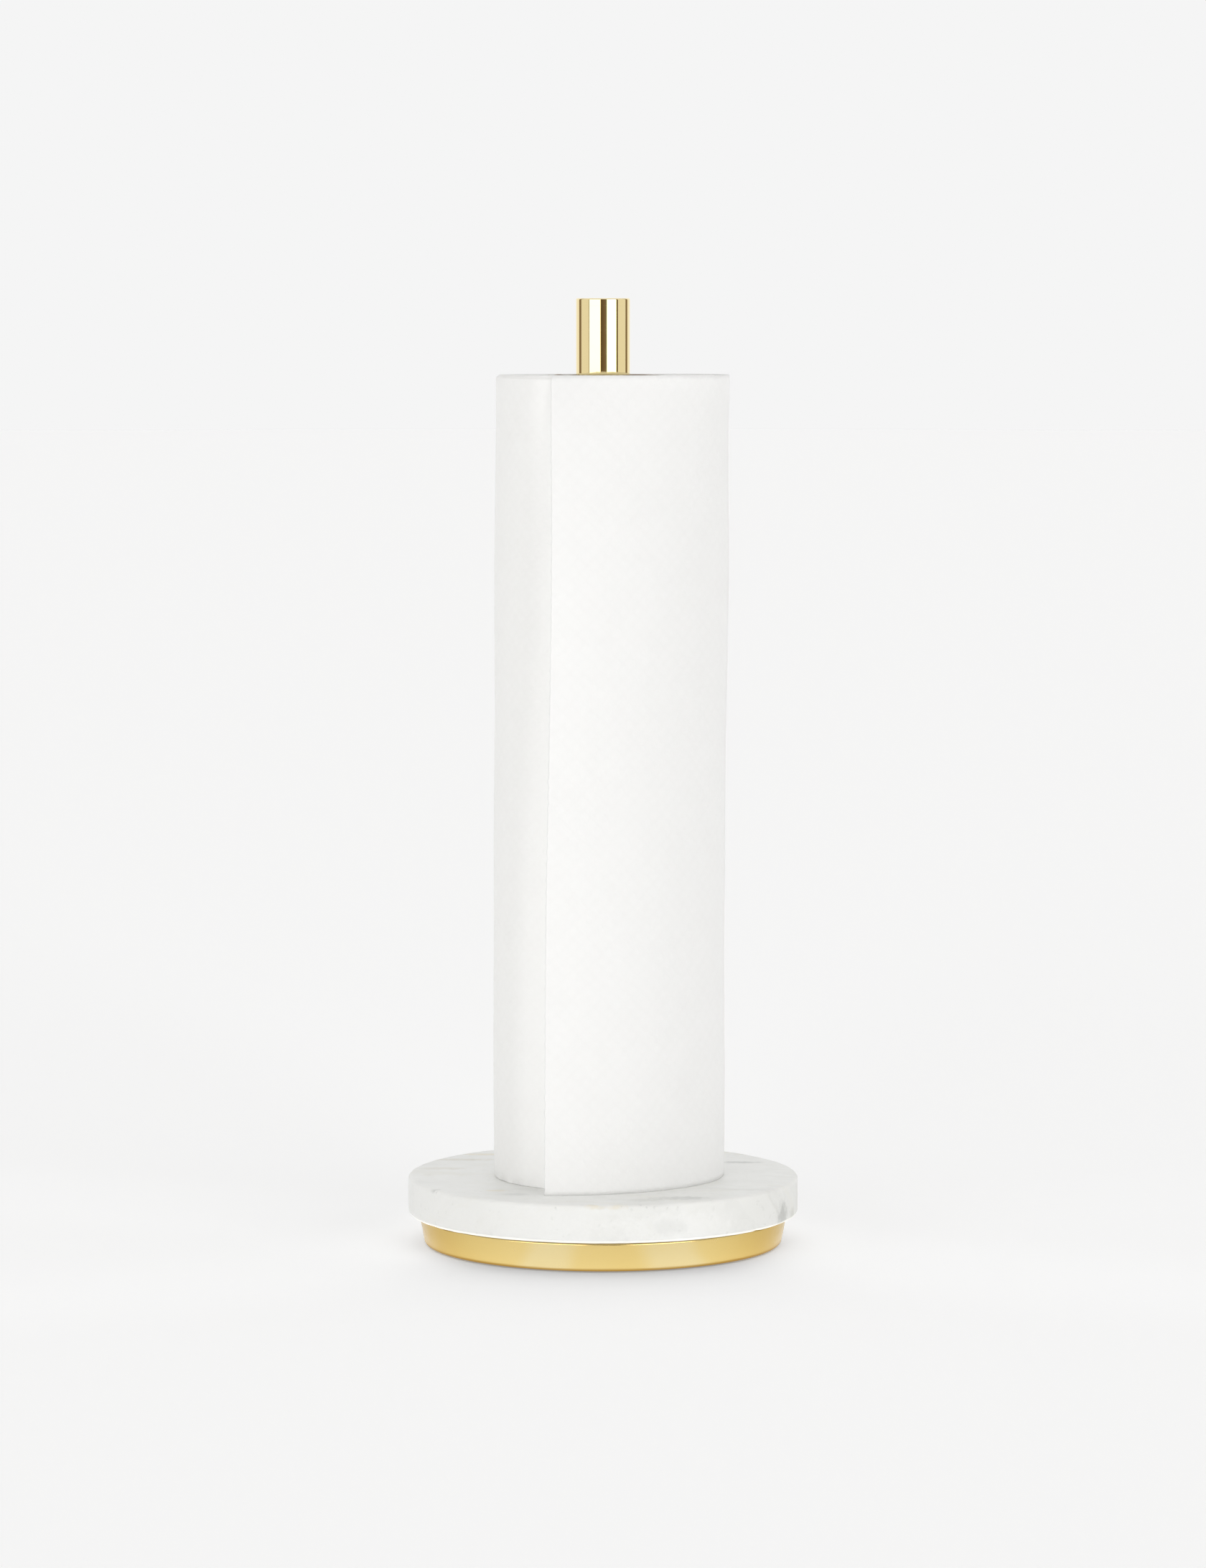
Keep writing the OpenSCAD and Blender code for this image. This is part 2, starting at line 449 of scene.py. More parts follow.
def make_edge_wear():
    """A mask that is 1 on the ring of a given radius and height and fades to 0 at a distance of
    Width from it, broken up by noise."""
    tree, given, result = group(
        "Edge wear",
        {
            "Vector": ("Vector", (0, 0, 0)),
            "Radius": ("Float", 0.05),
            "Height": ("Float", 0.01),
            "Width": ("Float", 0.001),
            "Break up": ("Float", 600.0),
        },
        {"Mask": "Float"},
    )
    x, y, z = split(tree, given["Vector"])[:3]
    out = minus(tree, length_of(tree, joined(tree, x, y, 0.0)), given["Radius"])
    up = minus(tree, z, given["Height"])
    squares = plus(tree, times(tree, out, out), times(tree, up, up))
    near = maths(tree, "DIVIDE", maths(tree, "SQRT", squares), given["Width"])
    near = slope(tree, near, 0.0, 1.0, 1.0, 0.0)
    patches = noise(tree, given["Vector"], given["Break up"], 3.0, 0.6)
    patches = slope(tree, patches, 0.35, 0.6)
    tree.links.new(times(tree, near, patches), result["Mask"])
    return tree


def make_specks():
    """Small round spots where a cell of a Voronoi pattern is chosen and its centre is near: the
    mask is 1 in the middle of a spot."""
    tree, given, result = group(
        "Specks",
        {
            "Vector": ("Vector", (0, 0, 0)),
            "Scale": ("Float", 500.0),
            "Share": ("Float", 0.2),
            "Size": ("Float", 0.35),
        },
        {"Mask": "Float"},
    )
    inputs = {"Vector": given["Vector"], "Scale": given["Scale"]}
    cells = node(tree, "ShaderNodeTexVoronoi", inputs).outputs
    chosen = maths(tree, "LESS_THAN", split(tree, cells["Color"])[0], given["Share"])
    inner = times(tree, given["Size"], 0.5)
    spot = slope(tree, cells["Distance"], inner, given["Size"], 1.0, 0.0)
    tree.links.new(times(tree, spot, chosen), result["Mask"])
    return tree


def make_fibres():
    """Fine tangled fibres: the mean of three stretched noises at different turns, of each only
    the thin ridges where it crosses its middle."""
    tree, given, result = group(
        "Fibres",
        {
            "Vector": ("Vector", (0, 0, 0)),
            "Scale": ("Float", 900.0),
            "Stretch": ("Float", 4.0),
        },
        {"Height": "Float"},
    )
    x, y, z = split(tree, given["Vector"])[:3]
    total = 0.0
    for turn, offset in ((0.6, 0.0), (-0.9, 7.3), (2.0, 3.1)):
        c, s = math.cos(turn), math.sin(turn)
        along = plus(tree, times(tree, x, c), times(tree, y, s))
        cross = minus(tree, times(tree, y, c), times(tree, x, s))
        along = maths(tree, "DIVIDE", along, given["Stretch"])
        place = joined(tree, along, cross, plus(tree, z, offset))
        grain = noise(tree, place, given["Scale"], 2.0)
        ridge = maths(tree, "ABSOLUTE", minus(tree, grain, 0.5))
        total = plus(tree, total, slope(tree, ridge, 0.0, 0.12, 1.0, 0.0))
    tree.links.new(maths(tree, "DIVIDE", total, 3.0), result["Height"])
    return tree


def make_towel_emboss(fibres_group):
    """The face of a paper towel on its own flat coordinates: rows of quilted diamonds, the
    product of two crossed sines, softened by noise, with fibres over them."""
    tree, given, result = group(
        "Towel emboss",
        {
            "Vector": ("Vector", (0, 0, 0)),
            "Diamond": ("Float", 0.005),
            "Fibre scale": ("Float", 1500.0),
        },
        {"Emboss": "Float", "Fibres": "Float"},
    )
    wander = noise(tree, given["Vector"], 90.0, 1.0)
    wander = times(tree, minus(tree, wander, 0.5), 1.6)
    u, v = split(tree, given["Vector"])[:2]
    u = maths(tree, "DIVIDE", u, given["Diamond"])
    v = maths(tree, "DIVIDE", v, given["Diamond"])
    waves = []
    for operation in ("ADD", "SUBTRACT"):
        phase = times(tree, maths(tree, operation, u, v), math.pi)
        waves.append(maths(tree, "SINE", plus(tree, phase, wander)))
    quilt = maths(tree, "ABSOLUTE", times(tree, *waves))
    tree.links.new(maths(tree, "POWER", quilt, 0.6), result["Emboss"])
    inputs = {"Vector": given["Vector"], "Scale": given["Fibre scale"], "Stretch": 5.0}
    threads = use(tree, fibres_group, inputs)
    tree.links.new(threads["Height"], result["Fibres"])
    return tree


UNEVENNESS = make_unevenness()
TURNING_MARKS = make_turning_marks()
EDGE_WEAR = make_edge_wear()
SPECKS = make_specks()
FIBRES = make_fibres()
TOWEL_EMBOSS = make_towel_emboss(FIBRES)


def unevenness(tree, place, scale, contrast, detail=3.0):
    inputs = {"Vector": place, "Scale": scale, "Detail": detail, "Contrast": contrast}
    return use(tree, UNEVENNESS, inputs)["Value"]


def turning_marks(tree, place, pitch, break_up):
    inputs = {"Vector": place, "Pitch": pitch, "Break up": break_up}
    return use(tree, TURNING_MARKS, inputs)["Height"]


def edge_wear(tree, place, ring, width, break_up=600.0):
    """ring is a radius and a height."""
    inputs = {"Vector": place, "Radius": ring[0], "Height": ring[1], "Width": width}
    return use(tree, EDGE_WEAR, {**inputs, "Break up": break_up})["Mask"]


def specks(tree, place, scale, share, size):
    inputs = {"Vector": place, "Scale": scale, "Share": share, "Size": size}
    return use(tree, SPECKS, inputs)["Mask"]


def fibres(tree, place, scale, stretch):
    return use(tree, FIBRES, {"Vector": place, "Scale": scale, "Stretch": stretch})["Height"]


# ---------------------------------------------------------------------------------------------
# Finishes
# ---------------------------------------------------------------------------------------------

BRIGHT_GOLD = ((0.90, 0.75, 0.41, 1), (0.885, 0.725, 0.37, 1))
DEEP_GOLD = ((0.94, 0.73, 0.31, 1), (0.91, 0.68, 0.25, 1))
PALE_EDGE_GOLD = (0.98, 0.86, 0.55, 1)
GOLD_PAINTED_SHADE = (0.79, 0.54, 0.148, 1)
GOLD_BOUNCE = (0.44, 0.42, 0.40, 1)
STONE_GREY = (0.33, 0.34, 0.32, 1)
STONE_GREEN = (0.50, 0.50, 0.44, 1)
STONE_OCHRE = (0.74, 0.62, 0.33, 1)
STONE_WARM = (0.62, 0.58, 0.47, 1)
STONE_PALE = (0.89, 0.893, 0.87, 1)
STONE_COOL = (0.765, 0.77, 0.74, 1)
# Painted shade between the wound paper's layers
LAYER_SHADE = (0.66, 0.65, 0.62, 1)


def gold_finish(name, tones, gloss_range, marks, pale_edge_ring, patch_scale, painted_shade_aside):
    """Plated gold: a polished metal of two faintly clouded tones, with smudges in its gloss,
    polishing rings of a pitch and depth, and a paler line along a given edge ring.
    painted_shade_aside is how strongly painted shade darkens its colour where it turns away
    from the eye."""
    finish, tree, shader, place = new_finish(name, Metallic=1.0)
    colour = colour_mix(tree, unevenness(tree, place, patch_scale, 1.4), *tones)
    smudge = unevenness(tree, place, 260.0, 2.0, 5.0)
    gloss = slope(tree, smudge, 0.2, 1.0, *gloss_range)
    # A paler line along the given edge ring
    rubbed = times(tree, edge_wear(tree, place, pale_edge_ring, 0.9 * MM), 0.4)
    colour = colour_mix(tree, rubbed, colour, PALE_EDGE_GOLD)
    # Painted shade: the colour grows darker where the surface turns away from the eye
    turned_away = node(tree, "ShaderNodeLayerWeight", {"Blend": 0.5}).outputs["Facing"]
    deeper = times(tree, slope(tree, turned_away, 0.17, 0.66), painted_shade_aside)
    colour = colour_mix(tree, deeper, colour, GOLD_PAINTED_SHADE)
    # Painted shade: diffuse rays see the metal as a dull grey in place of its colour, so the
    # floor beside it gets darker and takes no gold tint
    bounced = tree.nodes.new("ShaderNodeLightPath").outputs["Is Diffuse Ray"]
    colour = colour_mix(tree, bounced, colour, GOLD_BOUNCE)
    pitch, depth = marks
    rings = turning_marks(tree, place, pitch, 1.5)
    swell = noise(tree, place, 55.0, 2.0)
    finish_with(tree, shader, colour, gloss, [(rings, depth), (swell, 0.03 * MM)])
    return finish


def marble_ground(tree, place, warped):
    """The marble's pale ground: cool drifts, long cream bands that run nearly left to right,
    and thin veins along them where a warped noise crosses its middle."""
    white, cream, vein = (0.85, 0.853, 0.83, 1), (0.79, 0.78, 0.715, 1), (0.42, 0.42, 0.40, 1)
    drift = noise(tree, place, 22.0, 3.0, 0.6)
    colour = colour_mix(tree, slope(tree, drift, 0.42, 0.72, 0.0, 0.55), white, STONE_COOL)
    x, y, z = split(tree, warped)[:3]
    across = plus(tree, plus(tree, times(tree, x, 0.25), y), times(tree, z, 0.8))
    bands = joined(tree, times(tree, x, 0.2), across, 0.0)
    band = slope(tree, noise(tree, bands, 75.0, 3.0, 0.6), 0.50, 0.68, 0.0, 0.45)
    colour = colour_mix(tree, band, colour, cream)
    for scale, offset, width, strength in ((17.0, 0.13, 0.040, 0.10), (38.0, 0.47, 0.045, 0.05)):
        moved = vector_maths(tree, "ADD", bands, (offset, offset, 0.0))
        crossing = minus(tree, noise(tree, moved, scale, 4.0, 0.62), 0.5)
        line = slope(tree, maths(tree, "ABSOLUTE", crossing), 0.0, width, 1.0, 0.0)
        patchy = slope(tree, noise(tree, place, 26.0, 2.0), 0.45, 0.62, 0.0, strength)
        colour = colour_mix(tree, times(tree, line, patchy), colour, vein)
    return colour


def marble_patches(tree, place, colour):
    """Soft patches of other mineral, each a blurred ellipsoid with an uneven outline: 1 near its
    centre and 0 past its size from it."""
    # Centre and size in millimetres, strength and colour
    patches = (
        ((24, -62, 15), (50, 16, 8), 0.70, STONE_PALE),
        ((27, -52, 24), (13, 5, 2), 0.34, STONE_GREY),
        ((15, -56, 24), (9, 4, 3), 0.25, STONE_GREEN),
        ((62, -28, 14.5), (7, 6, 6), 0.48, STONE_GREY),
        ((66, -18, 12.5), (4, 5, 4), 0.35, STONE_GREEN),
        ((22, -64, 16), (13, 4, 4), 0.12, STONE_GREY),
        ((-3, -67, 23.4), (4, 2.5, 1.4), 0.32, STONE_OCHRE),
        ((5, -67, 23.4), (4, 2.5, 1.2), 0.26, STONE_OCHRE),
        ((48, 26, 24), (9, 3, 2), 0.45, STONE_GREY),
        ((-50, 32, 24), (15, 3.5, 3), 0.40, STONE_WARM),
        ((-40, 44, 24), (14, 3, 3), 0.30, STONE_OCHRE),
        ((-57, 12, 24), (12, 4, 3), 0.30, STONE_WARM),
        ((-30, -44, 24), (6, 4, 2), 0.22, STONE_GREY),
        ((-37, -36, 24), (5, 2.5, 2), 0.25, STONE_OCHRE),
        ((-58, -34, 23.6), (3, 2, 1.2), 0.35, STONE_GREY),
        ((-20, 64, 18), (18, 5, 5), 0.4, STONE_GREY),
        ((-66, 10, 16), (4, 12, 5), 0.4, STONE_GREEN),
    )
    uneven = times(tree, minus(tree, noise(tree, place, 330.0, 4.0, 0.65), 0.5), 1.5)
    for centre, size, strength, tint in patches:
        away = vector_maths(tree, "SUBTRACT", place, tuple(value * MM for value in centre))
        away = vector_maths(tree, "DIVIDE", away, tuple(value * MM for value in size))
        distance = plus(tree, length_of(tree, away), uneven)
        patch = times(tree, slope(tree, distance, 0.25, 1.0, 1.0, 0.0), strength)
        colour = colour_mix(tree, patch, colour, tint)
    return colour


def marble_finish():
    """Honed white marble: a clouded and veined ground with mineral patches, a fine crystal
    grain, edges rubbed paler, and small pits that gather along the edges."""
    finish, tree, shader, place = new_finish("Marble honed", Specular_IOR_Level=0.45)
    swirl = {"Vector": place, "Scale": 30.0, "Detail": 4.0, "Roughness": 0.6}
    wander = node(tree, "ShaderNodeTexNoise", swirl).outputs["Color"]
    wander = scaled(tree, vector_maths(tree, "SUBTRACT", wander, (0.5, 0.5, 0.5)), 30 * MM)
    warped = vector_maths(tree, "ADD", place, wander)
    colour = marble_patches(tree, place, marble_ground(tree, place, warped))
    crystals = unevenness(tree, place, 900.0, 1.6)
    colour = colour_mix(tree, slope(tree, crystals, 0.3, 1.0, 0.0, 0.12), colour, STONE_COOL)
    worn_top = edge_wear(tree, place, (MARBLE_R, MARBLE_HIGH.z), 2.2 * MM, 450.0)
    worn_low = edge_wear(tree, place, (MARBLE_R, MARBLE_LOW.z), 2.0 * MM, 450.0)
    worn = plus(tree, worn_top, worn_low, clamp=True)
    colour = colour_mix(tree, times(tree, worn, 0.25), colour, (0.87, 0.86, 0.82, 1))
    pits = specks(tree, warped, 420.0, 0.16, 0.4)
    pit_depth = times(tree, pits, number_mix(tree, worn, 0.25, 1.0))
    colour = colour_mix(tree, times(tree, pit_depth, 0.3), colour, STONE_GREY)
    # The polished rim of the pan throws light up on the eased lower edge
    z, low = split(tree, place)[2], MARBLE_LOW.z
    rising = slope(tree, z, low + 0.05 * MM, low + 0.3 * MM)
    falling = slope(tree, z, low + 0.6 * MM, low + 1.3 * MM, EDGE_GLOW, 0.0)
    caught = times(tree, rising, falling)
    glow = joined(tree, caught, times(tree, caught, 0.96), times(tree, caught, 0.84))
    faint_glow(finish, tree, shader, glow)
    grain = noise(tree, place, 2200.0, 2.0)
    surface = minus(tree, times(tree, grain, 0.25), pit_depth)
    swell = noise(tree, place, 240.0, 2.0)
    gloss = slope(tree, swell, 0.3, 0.7, 0.36, 0.5)
    finish_with(tree, shader, colour, gloss, [(surface, 0.09 * MM), (swell, 0.10 * MM)])
    return finish


def layer_rings(tree, place, colour):
    """Painted shade between the layers: fine uneven dark rings on both ends of the wound
    paper.
    """
    z = split(tree, place)[2]
    centred = vector_maths(tree, "SUBTRACT", place, (ROLL_X, 0.0, 0.0))
    rings = slope(tree, turning_marks(tree, centred, 0.40 * MM, 1.6), 0.35, 0.62, 0.20, 0.0)
    lower_end = slope(tree, z, ROLL_LOW.z + 0.2 * MM, ROLL_LOW.z + 0.5 * MM, 1.0, 0.0)
    upper_end = slope(tree, z, ROLL_HIGH.z - 1.0 * MM, ROLL_HIGH.z - 0.6 * MM)
    ends = maths(tree, "MAXIMUM", lower_end, upper_end)
    return colour_mix(tree, times(tree, rings, ends), colour, LAYER_SHADE)


def light_through_sheet(tree, place):
    """How much light comes through the loose sheet's free end, by the angle round the roll. It
    is weaker near the top, and fades out over the top corner."""
    x, y, z = split(tree, place)[:3]
    turn = degrees_from_front(tree, minus(tree, x, ROLL_X), y)
    shift = [ROLL_LOW.z + value for value in SHEET_GLOW_SHIFT]
    start, end = (slope(tree, z, *shift, low, high) for low, high in zip(*SHEET_GLOW_FROM))
    amount = slope(tree, z, ROLL_LOW.z, ROLL_HIGH.z, *SHEET_GLOW)
    amount = times(tree, amount, slope(tree, turn, start, end))
    amount = times(tree, amount, slope(tree, turn, *SHEET_GLOW_TO, 1.0, 0.0))
    near_top = slope(tree, z, ROLL_HIGH.z - 15 * MM, ROLL_HIGH.z - 2 * MM, 1.0, 0.75)
    on_top = slope(tree, z, ROLL_HIGH.z - 1.2 * MM, ROLL_HIGH.z - 0.4 * MM, 1.0, 0.25)
    return times(tree, amount, times(tree, near_top, on_top))


def paper_finish(name, depth, tint, seep, wound):
    """Absorbent paper: a matt white face with faint quilted diamonds of a given depth, whose
    hollows are painted a little darker as painted shade, pebbled fibres and a mottle. seep is
    how much light sinks in and comes through. The wound paper also has painted shade in rings
    on its ends, and light that comes through the loose sheet."""
    finish, tree, shader, place = new_finish(
        name, Roughness=0.92, Specular_IOR_Level=0.25, Subsurface_Weight=seep
    )
    shader.inputs["Subsurface Radius"].default_value = (1.0, 1.0, 1.0)
    shader.inputs["Subsurface Scale"].default_value = 1.2 * MM
    flat = tree.nodes.new("ShaderNodeUVMap")
    flat.uv_map = "paper"
    face = {"Vector": flat.outputs[0], "Diamond": QUILT, "Fibre scale": 1700.0}
    pattern = use(tree, TOWEL_EMBOSS, face)
    mottle = times(tree, unevenness(tree, place, 150.0, 1.5, 4.0), 0.5)
    # The pebbling is stronger in some places than in others
    patch = slope(tree, noise(tree, place, 38.0, 1.0), 0.40, 0.62, 0.35, 1.0)
    pebble = times(tree, unevenness(tree, place, 620.0, 1.3, 2.0), patch)
    # Painted shade in the quilting's hollows, and a mottle that varies the tone at random
    shadow = tuple(value * 0.96 for value in tint[:3]) + (1,)
    shade = plus(tree, times(tree, minus(tree, 1.0, pattern["Emboss"]), 0.25), mottle)
    colour = colour_mix(tree, shade, tint, shadow)
    threads = times(tree, pattern["Fibres"], 0.12)
    colour = colour_mix(tree, threads, colour, (0.93, 0.93, 0.92, 1))
    if wound:
        # Painted shade between the layers on the roll's ends
        colour = layer_rings(tree, place, colour)
        passed = light_through_sheet(tree, place)
        faint_glow(finish, tree, shader, grey_of(tree, passed))
    heights = [(pattern["Emboss"], depth), (pattern["Fibres"], 0.03 * MM), (pebble, 0.20 * MM)]
    finish_with(tree, shader, colour, None, heights)
    return finish


def cardboard_finish():
    """Grey-brown core board: long fibres, flecks of darker pulp, and a scuffed matt face."""
    finish, tree, shader, place = new_finish("Cardboard core", Specular_IOR_Level=0.2)
    fibre = fibres(tree, place, 700.0, 6.0)
    cloud = unevenness(tree, place, 130.0, 1.6)
    flecks = specks(tree, place, 800.0, 0.12, 0.5)
    colour = colour_mix(tree, cloud, (0.47, 0.36, 0.24, 1), (0.38, 0.28, 0.18, 1))
    colour = colour_mix(tree, times(tree, fibre, 0.35), colour, (0.58, 0.47, 0.34, 1))
    colour = colour_mix(tree, times(tree, flecks, 0.5), colour, (0.18, 0.12, 0.08, 1))
    rough = slope(tree, cloud, 0.0, 1.0, 0.78, 0.92)
    finish_with(tree, shader, colour, rough, [(fibre, 0.08 * MM)])
    return finish


def steel_finish(name, tint, dull, rough, spot_share):
    """Plated or bare steel: turning rings, cloudy gloss, and spots of dulling."""
    finish, tree, shader, place = new_finish(name, Metallic=1.0)
    cloud = unevenness(tree, place, 180.0, 1.8)
    spots = specks(tree, place, 350.0, spot_share, 0.45)
    marks = turning_marks(tree, place, 0.25 * MM, 4.0)
    colour = colour_mix(tree, cloud, tint, dull)
    colour = colour_mix(tree, times(tree, spots, 0.5), colour, dull)
    worn = plus(tree, times(tree, cloud, 0.15), times(tree, spots, 0.2))
    finish_with(tree, shader, colour, plus(tree, worn, rough), [(marks, 0.03 * MM)])
    return finish


def foam_finish(name, tint, cell_scale, depth):
    """Closed-cell foam: a matt face of small round cells, each a little darker in its middle."""
    finish, tree, shader, place = new_finish(name, Specular_IOR_Level=0.3)
    cells = specks(tree, place, cell_scale, 0.85, 0.55)
    cloud = unevenness(tree, place, 60.0, 1.5)
    dark = tuple(value * 0.55 for value in tint[:3]) + (1,)
    pale = tuple(value * 1.5 + 0.01 for value in tint[:3]) + (1,)
    colour = colour_mix(tree, cloud, tint, pale)
    colour = colour_mix(tree, times(tree, cells, 0.6), colour, dark)
    rough = slope(tree, cloud, 0.0, 1.0, 0.7, 0.9)
    finish_with(tree, shader, colour, rough, [(minus(tree, 1.0, cells), depth)])
    return finish


def fibre_finish():
    """Vulcanised fibre washer: dark red-brown sheet with fine fibres."""
    finish, tree, shader, place = new_finish("Fibre washer", Specular_IOR_Level=0.4)
    fibre = fibres(tree, place, 1500.0, 3.0)
    cloud = unevenness(tree, place, 240.0, 1.5)
    colour = colour_mix(tree, cloud, (0.10, 0.035, 0.02, 1), (0.15, 0.06, 0.035, 1))
    colour = colour_mix(tree, times(tree, fibre, 0.4), colour, (0.22, 0.10, 0.06, 1))
    rough = slope(tree, cloud, 0.0, 1.0, 0.45, 0.6)
    finish_with(tree, shader, colour, rough, [(fibre, 0.03 * MM)])
    return finish


# ---------------------------------------------------------------------------------------------
# Pieces
# ---------------------------------------------------------------------------------------------


def make_marble(finish):
    """The marble disc: a turned ring whose edges are eased by hand, so that their roundness
    wanders, with nicks: each nick moves points inwards by depth * exp(-(distance / width)^2)."""
    bore = 3.4 * MM
    low, high = MARBLE_LOW.z, MARBLE_HIGH.z
    corners = [
        (bore, low, 0),
        (MARBLE_R, low, 1.7 * MM),
        (MARBLE_R, high, 1.2 * MM),
        (bore, high, 0),
    ]
    profile = refine(outline(corners, steps=11), 1.6 * MM)
    # Few rings are needed far from the edge
    keep = (profile[:, 0] > MARBLE_R - 6 * MM) | (np.arange(len(profile)) % 6 == 0)
    keep |= profile[:, 0] < bore + 0.01 * MM
    profile = profile[keep]
    # Angle from the front, which edge, width and depth in millimetres
    nicks = [(-1.0, high, 1.5, 0.65), (-60.0, high, 1.3, 0.5), (52.0, low, 1.8, 0.45)]
    rng = np.random.default_rng(11)
    for _ in range(34):
        level = high if rng.random() < 0.6 else low
        nicks.append((rng.uniform(-180, 180), level, rng.uniform(0.5, 1.3), rng.uniform(0.08, 0.3)))

    def shape(a, r, z):
        outer = ease(r, MARBLE_R - 2.5 * MM, MARBLE_R - 0.4 * MM)
        near_top = ease(z, high - 2.0 * MM, high)
        near_low = ease(-z, -low - 2.0 * MM, -low)
        wave = ripple(3, 3, 40, 16, a) * near_top + ripple(4, 3, 40, 16, a) * near_low
        r_new = r - outer * (0.10 * MM + 0.06 * MM * wave)
        z_new = z - outer * 0.05 * MM * (near_top - near_low) * (1 + ripple(5, 5, 60, 12, a))
        r_new = r_new + outer * 0.04 * MM * ripple(6, 2, 14, 10, a, z / (4 * MM))
        for front, level, width, depth in nicks:
            angle = math.radians(front) - math.pi / 2
            turn = (a - angle + math.pi) % TAU - math.pi
            across = turn * MARBLE_R
            drop = (r - MARBLE_R) ** 2 + (z - level) ** 2
            hollow = np.exp(-(across**2 + drop) / (width * MM) ** 2) * depth * MM
            r_new = r_new - hollow
            z_new = z_new + hollow * (0.8 if level == low else -0.8)
        return r_new * np.cos(a), r_new * np.sin(a), z_new

    return turned("marble", profile, 900, finish, shape)


def make_post(finish):
    """The post's tube and its cap, turned: the tube is drawn straight, and the cap closes it
    flush with a small rounded edge and a plug that goes down inside."""
    wall = 1.2 * MM
    inside = POST_R - wall
    seam = 0.005 * MM
    tube_corners = [
        (inside, TUBE_LOW.z, 0),
        (POST_R, TUBE_LOW.z, 0.15 * MM),
        (POST_R, TUBE_HIGH.z, seam),
        (inside, TUBE_HIGH.z, 0),
    ]
    tube = turned("gold_tube", refine(outline(tube_corners), 12 * MM), 256, finish)
    spigot = inside - 0.05 * MM
    cap_corners = [
        (0.0, CAP_LOW.z, 0),
        (spigot, CAP_LOW.z, 0.3 * MM),
        (spigot, TUBE_HIGH.z, 0),
        (POST_R, TUBE_HIGH.z, seam),
        (POST_R, CAP_HIGH.z, 0.5 * MM),
        (0.0, CAP_HIGH.z, 0),
    ]
    cap = turned("gold_cap", refine(outline(cap_corners, 9), 2 * MM), 256, finish)
    return tube, cap


def make_pan(finish):
    """The pressed pan: a shallow flared cup with a recess for the foot pad below and a raised
    well for the screw, its wall very slightly wavy from pressing and polishing."""
    wall = 1.0 * MM
    foot_r = PAN_FOOT_R
    # The marble rests on its foam sheet, so a hair of shadow shows over the rim
    low, rim = PAN_LOW.z, PAN_HIGH.z - 0.35 * MM
    recess_r = FOOT_HIGH.x + 0.2 * MM
    recess_z = FOOT_HIGH.z
    floor_z = recess_z + wall
    well_r = 17.0 * MM
    well_z = 9.0 * MM
    hole_r = 3.4 * MM
    corners = [
        (hole_r, well_z, 0.1 * MM),
        (well_r - 0.4 * MM, well_z, 0.4 * MM),
        (well_r, recess_z, 0.4 * MM),
        (recess_r, recess_z, 0.3 * MM),
        (recess_r, low, 0.3 * MM),
        (foot_r, low, 1.5 * MM),
        (PAN_RIM_R, rim, 0.75 * MM),
        (PAN_RIM_R - wall, rim, 0.1 * MM),
        (foot_r - wall, floor_z, 0.4 * MM),
        (well_r + wall, floor_z, 0.4 * MM),
        (well_r + wall, well_z + wall, 0.4 * MM),
        (hole_r, well_z + wall, 0.1 * MM),
    ]
    profile = refine(outline(corners), 1.5 * MM)

    def shape(a, r, z):
        outer = ease(r, foot_r - 4 * MM, foot_r - 1 * MM)
        wave = ripple(21, 2, 9, 8, a, z / (9 * MM)) * 0.035 * MM
        wave = wave + ripple(22, 14, 44, 12, a, z / (5 * MM)) * 0.006 * MM
        r_new = r + outer * (wave - 0.03 * MM)
        return r_new * np.cos(a), r_new * np.sin(a), z

    return turned("gold_pan", profile, 480, finish, shape)


def make_core(finish):
    """The cardboard core: a thin tube with a step where its board is wound in a spiral, ends
    that are cut a little unevenly, and a bore that is slightly out of round."""
    outer = CORE_R
    inner = outer - 0.7 * MM
    low, high = CORE_LOW.z, CORE_HIGH.z
    edge = 0.15 * MM
    corners = [(inner, low, edge), (outer, low, edge), (outer, high, edge), (inner, high, edge)]
    profile = refine(outline(corners, 4), 3.0 * MM)
    spiral_rise = 95.0 * MM

    def shape(a, r, z):
        winding = (a / TAU - (z - low) / spiral_rise) % 1.0
        seam = np.exp(-((winding - 0.5) / 0.008) ** 2)
        inside = ease(-r, -outer + 0.2 * MM, -inner)
        oval = 0.10 * MM * np.cos(2 * a + 0.7)
        end = ease(z, high - 1.5 * MM, high) + ease(-z, -low - 1.5 * MM, -low)
        r_new = r + inside * seam * 0.12 * MM + oval * 0.6
        r_new = r_new + inside * end * 0.04 * MM * ripple(31, 2, 9, 6, a)
        top = ease(z, high - 1.5 * MM, high)
        z_new = z - top * 0.10 * MM * (1 + ripple(32, 3, 15, 8, a))
        return r_new * np.cos(a) + ROLL_X, r_new * np.sin(a), z_new

    return turned("cardboard_core", profile, 192, finish, shape)


def roll_lean(z):
    """How far the wound paper's outside stands to the right of the core's axis at height z:
    0.7 mm to the left in the lowest quarter, and 0.3 mm to the right at the top."""
    up = np.clip((z - ROLL_LOW.z) / ROLL_H - 0.25, 0.0, 1.0) / 0.75
    return 1.05 * MM * up**1.3 - 0.72 * MM


def end_tilt(y):
    """How far the roll's top end stands above its nominal height, since the paper leans back:
    0.7 mm higher in front and 0.3 mm lower behind."""
    return 0.20 * MM - 0.50 * MM * y / ROLL_R


